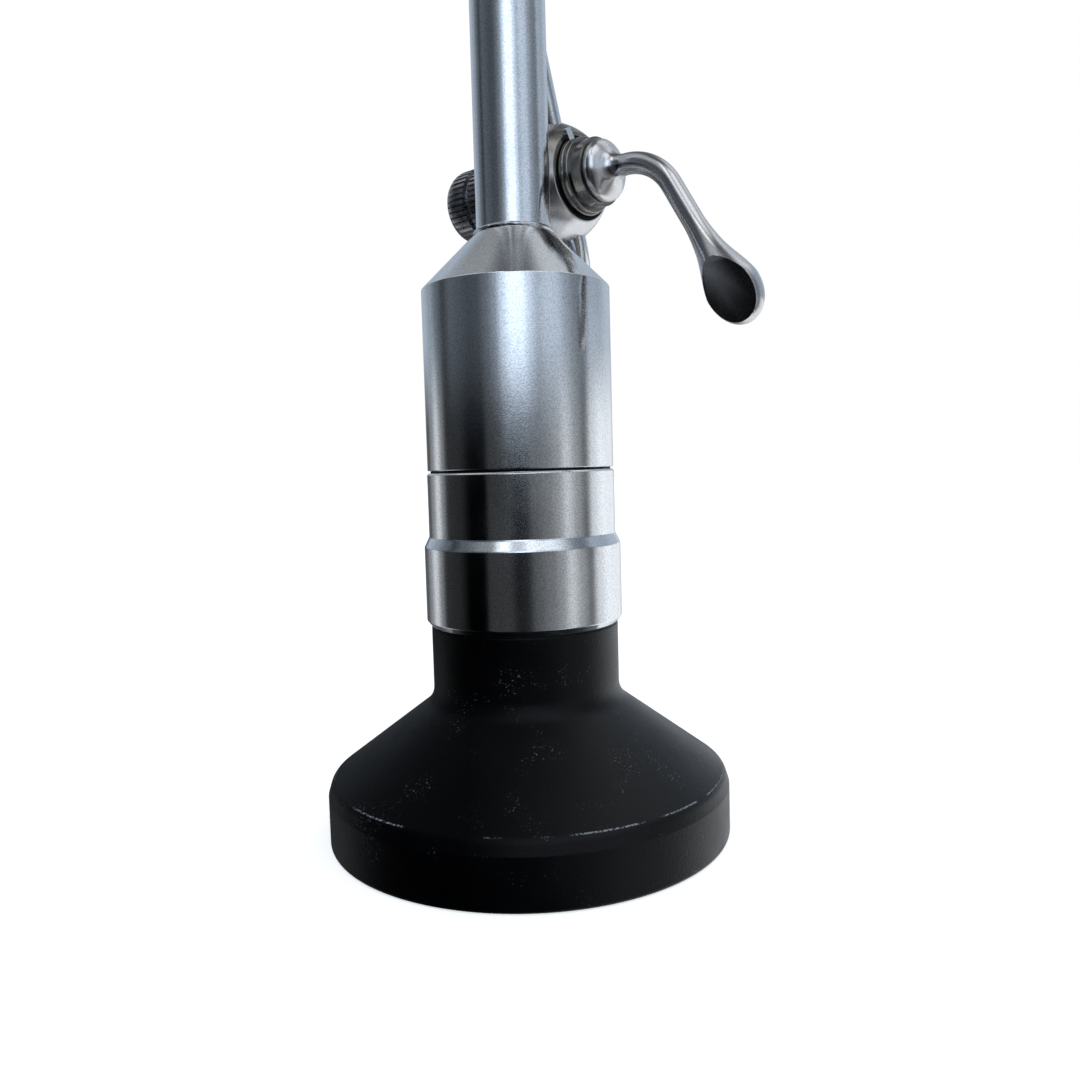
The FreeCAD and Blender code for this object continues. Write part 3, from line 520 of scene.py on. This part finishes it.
def seam_painted_shade_ring():
    """Black ring at the bottom of the open seam: painted shade in the seam."""
    inner, outer = SEAM_FLOOR + 0.005, SEAM_FLOOR + 0.1
    bottom, top = SEAM_GAP_LOW + 0.01, SEAM_GAP_HIGH - 0.01
    piece = turned_piece("seam_painted_shade_ring", [
        (inner, bottom, 0.0), (outer, bottom, 0.02), (outer, top, 0.02), (inner, top, 0.0)])
    finish_piece(piece, RUBBER, "housing", [])


def weld_bead():
    """Uneven ring of melted steel where the shaft leaves the cone."""
    piece = turned_piece("weld_bead", [
        (WELD_INNER, CONE_TOP - 0.1, 0.0), (WELD_FOOT, CONE_TOP - 0.1, 0.05),
        (WELD_OUTER, CONE_TOP + 0.12, 0.08), (WELD_CROWN, CONE_TOP + 0.24, 0.08),
        (WELD_INNER, CONE_TOP + 0.33, 0.0)], step_degrees=20.0)
    choose(piece, lambda co: math.hypot(co.x, co.y) > WELD_INNER + 0.08)
    bpy.ops.transform.vertex_random(offset=WELD_ROUGHNESS, uniform=1.0, seed=7)
    bpy.ops.mesh.vertices_smooth(factor=0.6, repeat=2)
    bpy.ops.object.mode_set(mode="OBJECT")
    finish_piece(piece, LEVER_STEEL, "housing", ["shaft_weld"], smooth_degrees=60.0)


# Stopcock: its pieces are modelled about +Z, along the plug, and then turned to their place.

PLUG_AZIMUTH = math.radians(-42.0)
PLUG_OFFSET = 5.9                    # of the plug's axis from the shaft's
PLUG_HEIGHT = 52.2
PLUG_WAY = Vector((math.cos(PLUG_AZIMUTH), math.sin(PLUG_AZIMUTH), 0.0))
CHANNEL_SIDE = Vector((0, 0, 1)).cross(PLUG_WAY)
PLUG_PLACE = Matrix.Translation(CHANNEL_SIDE * PLUG_OFFSET + Vector((0, 0, PLUG_HEIGHT))) @ Matrix((
    (CHANNEL_SIDE.x, 0.0, PLUG_WAY.x, 0.0),
    (CHANNEL_SIDE.y, 0.0, PLUG_WAY.y, 0.0),
    (0.0, 1.0, 0.0, 0.0),
    (0.0, 0.0, 0.0, 1.0)))

BALL_FACE = 2.2
GAP_SHADE_INNER = 3.1
GAP_SHADE_OUTER = 3.25
GAP_SHADE_BOTTOM = BALL_FACE + 0.01
GAP_SHADE_TOP = BALL_FACE + 0.06
GAP_SHADE_BULGE = (0.05, -0.12, 0.0)    # of its outer edge

DOME_START = 4.12
DOME_LIP = 4.42
BAR = 0.82                           # radius of the arm
BEND_RADIUS = 5.0
DROP = math.radians(58.6)            # of the arm below the plug's axis
BEND_CORNER = 9.3                    # where the lines of plug and arm meet
NECK = BEND_CORNER - BEND_RADIUS * math.tan(DROP / 2)
ARM_WAY = Vector((0, -math.sin(DROP), math.cos(DROP)))

PAD_DISTANCE = 12.62                 # of the pad's centre from the corner
PAD_TAPER = 6.0
PAD_TILT = math.radians(10.0)        # of each ground face, so that the pad thins towards its end
PAD_RADIUS = 2.02
PAD_HALF = 0.975                     # half the thickness at its centre
PAD_END = 2.85
PAD_END_FLAT = 0.12
PAD_CENTRE = Vector((0, 0, BEND_CORNER)) + ARM_WAY * PAD_DISTANCE
JOIN_MERGE = 2e-4                    # between the rings of arm and pad


def flange_gap_painted_shade():
    """Black ring on the ball's flat face, pushed out from under the flange on its lower side: painted shade
    in the gap under the flange.
    """
    piece = turned_piece("flange_gap_painted_shade", [
        (GAP_SHADE_INNER, GAP_SHADE_BOTTOM, 0.0), (GAP_SHADE_OUTER, GAP_SHADE_BOTTOM, 0.0),
        (GAP_SHADE_OUTER, GAP_SHADE_TOP - 0.03, 0.0), (GAP_SHADE_OUTER - 0.05, GAP_SHADE_TOP, 0.02),
        (GAP_SHADE_INNER, GAP_SHADE_TOP, 0.0)], FINE)
    choose(piece, lambda co: math.hypot(co.x, co.y) > GAP_SHADE_INNER + 0.03)
    bpy.ops.transform.translate(value=GAP_SHADE_BULGE)
    bpy.ops.object.mode_set(mode="OBJECT")
    finish_piece(piece, RUBBER, "housing", [], PLUG_PLACE)


def lever_head_and_arm():
    """Domed head with a thin lip, whose shoulder flares down into the round arm."""
    dome = [(2.22, DOME_START), (2.33, DOME_START + 0.04), (2.39, DOME_START + 0.12), (2.4, DOME_LIP - 0.04)]
    dome += [(radius, DOME_LIP + rise) for radius, rise in (
        (2.39, 0.14), (2.34, 0.32), (2.22, 0.5), (2.05, 0.65), (1.84, 0.78), (1.62, 0.89), (1.42, 1.0),
        (1.26, 1.13), (1.12, 1.29), (1.01, 1.46), (0.93, 1.64), (0.875, 1.81), (0.847, 1.91), (0.829, 2.0))]
    dome.append((BAR, NECK))
    piece = start_ring("lever", *dome[0], FINE)
    draw_out(dome)
    bpy.ops.mesh.spin(steps=14, angle=DROP, center=(0, -BEND_RADIUS, NECK), axis=(-1, 0, 0))
    bend_end = Vector((0, 0, BEND_CORNER)) + ARM_WAY * (BEND_CORNER - NECK)
    run = PAD_CENTRE - ARM_WAY * PAD_TAPER - bend_end
    stretches = 6
    for _ in range(stretches):
        bpy.ops.mesh.extrude_region_move(TRANSFORM_OT_translate={"value": tuple(run / stretches)})
    bpy.ops.object.mode_set(mode="OBJECT")
    return piece


def lever_pad():
    """Teardrop bulb at the arm's end, ground flat on both faces."""
    taper = [(BAR, -PAD_TAPER), (0.86, -5.4), (0.92, -4.8), (1.0, -4.2), (1.1, -3.6), (1.24, -3.0),
             (1.41, -2.4), (1.6, -1.8), (1.78, -1.2), (1.92, -0.65), (2.0, -0.25), (PAD_RADIUS, 0.0)]
    end = [(PAD_RADIUS * math.cos(angle) ** 0.92, PAD_END * math.sin(angle))
           for angle in (math.radians(degrees) for degrees in range(8, 88, 8))]
    piece = start_ring("lever_pad", *taper[0], FINE)
    draw_out(taper + end + [(PAD_END_FLAT, PAD_END)])
    bpy.ops.mesh.edge_face_add()
    for side in (1, -1):
        bpy.ops.mesh.select_all(action="SELECT")
        bpy.ops.mesh.bisect(plane_co=(PAD_HALF * side, 0, 0), use_fill=True, clear_outer=True,
                            plane_no=(side * math.cos(PAD_TILT), 0, math.sin(PAD_TILT)))
    bpy.ops.object.mode_set(mode="OBJECT")
    return piece


def lever():
    """Head, arm and pad in one piece."""
    arm = lever_head_and_arm()
    pad = lever_pad()
    place_piece(pad, Matrix.Translation(PAD_CENTRE) @ Matrix.Rotation(DROP, 4, "X"))
    arm.select_set(True)
    bpy.context.view_layer.objects.active = arm
    bpy.ops.object.join()
    bpy.ops.object.mode_set(mode="EDIT")
    bpy.ops.mesh.select_all(action="SELECT")
    bpy.ops.mesh.remove_doubles(threshold=JOIN_MERGE)
    close_mesh()
    finish_piece(arm, LEVER_STEEL, "stopcock_key", ["stopcock_lever"], PLUG_PLACE, 35.0)


# The cap nut is on the plug's far end, so its places along the plug are below zero.

CAP_START = -6.15
CAP_END = -11.0
CAP_WIDE_START = CAP_END + 2.5
CAP_GROOVE_START = CAP_WIDE_START + 0.35
CAP_BORE = 1.12
CAP_NARROW_RADIUS = 3.0
CAP_GROOVE_RADIUS = 2.8
CAP_RADIUS = 3.15
KNURLED_FROM = 2.95                  # radius beyond which the nut is knurled
KNURLS = 40
KNURL_FACES = 4                      # faces round the nut for each knurl
KNURL_SHARE = 0.935                  # of the radius, at the bottom of a knurl


def cap_nut():
    """Wide knurled knob with a narrower knurled ring; one line of vertices in four is drawn in."""
    outline = [(CAP_BORE, CAP_START), (2.3, CAP_START), (CAP_NARROW_RADIUS, CAP_START),
               (CAP_NARROW_RADIUS, CAP_START - 0.02), (CAP_NARROW_RADIUS, CAP_GROOVE_START + 0.02),
               (CAP_NARROW_RADIUS, CAP_GROOVE_START), (CAP_GROOVE_RADIUS, CAP_GROOVE_START - 0.06),
               (CAP_GROOVE_RADIUS, CAP_WIDE_START + 0.06), (CAP_RADIUS, CAP_WIDE_START),
               (CAP_RADIUS, CAP_WIDE_START - 0.02), (CAP_RADIUS, CAP_WIDE_START - 0.9)]
    outline += [(radius, CAP_END + rise) for radius, rise in (
        (CAP_RADIUS, 1.0), (3.08, 0.66), (2.9, 0.34), (2.62, 0.12), (2.28, 0.02), (2.05, 0.0))]
    faces = KNURLS * KNURL_FACES
    piece = start_ring("knurled_cap_nut", *outline[0], faces)
    draw_out(outline)
    close_mesh()
    choose(piece, lambda co: math.hypot(co.x, co.y) > KNURLED_FROM and round(
        math.degrees(math.atan2(co.y, co.x)) * faces / 360) % KNURL_FACES == 0)
    bpy.ops.transform.resize(value=(KNURL_SHARE, KNURL_SHARE, 1), center_override=(0, 0, 0))
    bpy.ops.object.mode_set(mode="OBJECT")
    # The cap nut's dark steel is painted shade.
    finish_piece(piece, DARK_STEEL, "stopcock_key", ["cap_nut"], PLUG_PLACE, 24.0)


eyecup()
collar()
barrel()
seam_painted_shade_ring()
weld_bead()
flange_gap_painted_shade()
lever()
cap_nut()


# Studio

CAMERA_PLACE = Vector((1.39, -74.2, 29.0))
CAMERA_TILT = 85.5                   # from straight down
CAMERA_ROLL = -1.59
FOCAL_LENGTH = 31.0
SENSOR_WIDTH = 36.0
NEAREST_SEEN = 2.0
FARTHEST_SEEN = 20000.0
FLOOR_SIZE = 4000.0
FLOOR_HEIGHT = -0.02
FLOOR_GLOW = 0.62


def add_camera():
    """Camera at the photograph's place, pitched down a little and rolled to the object's lean."""
    data = bpy.data.cameras.new("photo_camera")
    data.sensor_width = SENSOR_WIDTH
    data.lens = FOCAL_LENGTH
    data.clip_start = NEAREST_SEEN * MM
    data.clip_end = FARTHEST_SEEN * MM
    camera = bpy.data.objects.new("photo_camera", data)
    bpy.context.scene.collection.objects.link(camera)
    tilt = Matrix.Rotation(math.radians(CAMERA_TILT), 4, "X")
    roll = Matrix.Rotation(math.radians(CAMERA_ROLL), 4, "Z")
    camera.matrix_world = Matrix.Translation(CAMERA_PLACE * MM) @ tilt @ roll
    bpy.context.scene.camera = camera


def add_floor():
    """Pale floor that glows a little. Only the camera sees it: the metal mirrors the studio's lower walls."""
    bpy.ops.object.select_all(action="DESELECT")
    bpy.ops.mesh.primitive_plane_add(size=FLOOR_SIZE * MM, location=(0, 0, FLOOR_HEIGHT * MM))
    floor = bpy.context.object
    floor.name = "studio_floor"
    material, tree, shader, place = new_material("pale_floor", (0.9, 0.9, 0.9), 0.0, 0.8)
    tree.links.new(tint(tree, noise(tree, place, 300.0), (0.88, 0.88, 0.88), (0.92, 0.92, 0.92)),
                   shader.inputs["Base Color"])
    shader.inputs["Emission Color"].default_value = (*WHITE, 1.0)
    shader.inputs["Emission Strength"].default_value = FLOOR_GLOW
    see_through = tree.nodes.new("ShaderNodeBsdfTransparent")
    choice = tree.nodes.new("ShaderNodeMixShader")
    tree.links.new(tree.nodes.new("ShaderNodeLightPath").outputs["Is Camera Ray"], choice.inputs["Fac"])
    tree.links.new(see_through.outputs["BSDF"], choice.inputs[1])
    tree.links.new(shader.outputs["BSDF"], choice.inputs[2])
    tree.links.new(choice.outputs["Shader"], tree.nodes["Material Output"].inputs["Surface"])
    floor.data.materials.append(material)


# Brightness of the studio round the object: degrees from the photograph's camera, positive to its right,
# and the light that comes from there. The first list is for what lies near the camera's height or below it,
# the second for what lies above that, and the third for what lies steeply overhead.
LOW_LIGHTS = [
    (-180, 0.3), (-150, 0.1), (-134, 0.35), (-120, 0.95), (-108, 0.3), (-99, 0.04), (-80, 0.03), (-62, 0.0),
    (-42, 0.0), (-38, 0.05), (-16, 0.05), (-4, 0.01), (6, 0.02), (16, 0.13), (34, 0.24), (46, 0.4),
    (58, 0.85), (72, 0.45), (86, 0.18), (98, 1.0), (116, 1.35), (145, 1.2), (180, 0.3)]
HIGH_LIGHTS = [
    (-180, 0.5), (-145, 0.6), (-126, 0.45), (-110, 0.2), (-97, 0.07), (-85, 0.16), (-70, 0.13), (-58, 0.1),
    (-46, 0.11), (-34, 0.22), (-24, 0.45), (-14, 1.3), (-6, 1.9), (8, 1.9), (16, 1.2), (26, 0.7), (38, 0.9),
    (50, 0.85), (62, 0.5), (76, 0.3), (88, 0.26), (100, 0.6), (118, 0.55), (140, 0.7), (180, 0.5)]
STEEP_LIGHTS = [
    (-180, 0.12), (-158, 0.25), (-140, 0.4), (-112, 0.9), (-90, 0.6), (-60, 0.7), (-42, 0.5), (-33, 2.3),
    (-24, 2.3), (-12, 0.6), (0, 0.8), (12, 1.6), (44, 1.6), (60, 1.3), (76, 0.4), (90, 0.8), (110, 1.2),
    (140, 0.8), (158, 0.35), (180, 0.12)]
LOW_COLOR = (0.96, 1.0, 1.04)
HIGH_COLOR = (0.84, 0.97, 1.14)
STEEP_COLOR = (0.95, 1.0, 1.05)
ROOF_COLOR = (0.13, 0.13, 0.155, 1.0)
# Steepness, as the Z of a direction, over which each list goes over into the next one or into the roof
LOW_TO_HIGH = (0.045, 0.13)
HIGH_TO_STEEP = (0.6, 0.78)
STEEP_TO_ROOF = (0.93, 0.985)


def light_ring(tree, turn, lights, color):
    """Colour ramp round the studio, made from brightness at angles."""
    ramp = tree.nodes.new("ShaderNodeValToRGB")
    ramp.color_ramp.interpolation = "EASE"
    elements = ramp.color_ramp.elements
    last = len(lights) - 1
    for index, (degrees, level) in enumerate(lights):
        position = (degrees + 180) / 360
        element = elements[0] if index == 0 else elements[-1] if index == last else elements.new(position)
        element.position = position
        element.color = tuple(level * share for share in color) + (1.0,)
    tree.links.new(turn, ramp.inputs["Fac"])
    return ramp.outputs["Color"]


def add_world():
    """Studio of soft bright and dark walls for the reflections, and plain white behind the object."""
    world = bpy.data.worlds.new("studio")
    bpy.context.scene.world = world
    world.use_nodes = True
    tree = world.node_tree
    way = split(tree, tree.nodes.new("ShaderNodeTexCoord").outputs["Generated"])
    azimuth = calculated(tree, "ARCTAN2", way["X"], calculated(tree, "MULTIPLY", way["Y"], -1.0))
    turn = spread(tree, azimuth, 0.0, 1.0, -math.pi, math.pi)
    low = light_ring(tree, turn, LOW_LIGHTS, LOW_COLOR)
    high = light_ring(tree, turn, HIGH_LIGHTS, HIGH_COLOR)
    steep = light_ring(tree, turn, STEEP_LIGHTS, STEEP_COLOR)
    walls = mixed(tree, spread(tree, way["Z"], 0.0, 1.0, *LOW_TO_HIGH), low, high)
    upper = mixed(tree, spread(tree, way["Z"], 0.0, 1.0, *HIGH_TO_STEEP), walls, steep)
    roof = mixed(tree, spread(tree, way["Z"], 0.0, 1.0, *STEEP_TO_ROOF), upper, ROOF_COLOR)
    seen = tree.nodes.new("ShaderNodeLightPath").outputs["Is Camera Ray"]
    tree.links.new(mixed(tree, seen, roof, (*WHITE, 1.0)), tree.nodes["Background"].inputs["Color"])


add_camera()
add_floor()
add_world()
bpy.context.scene.view_settings.view_transform = "Standard"
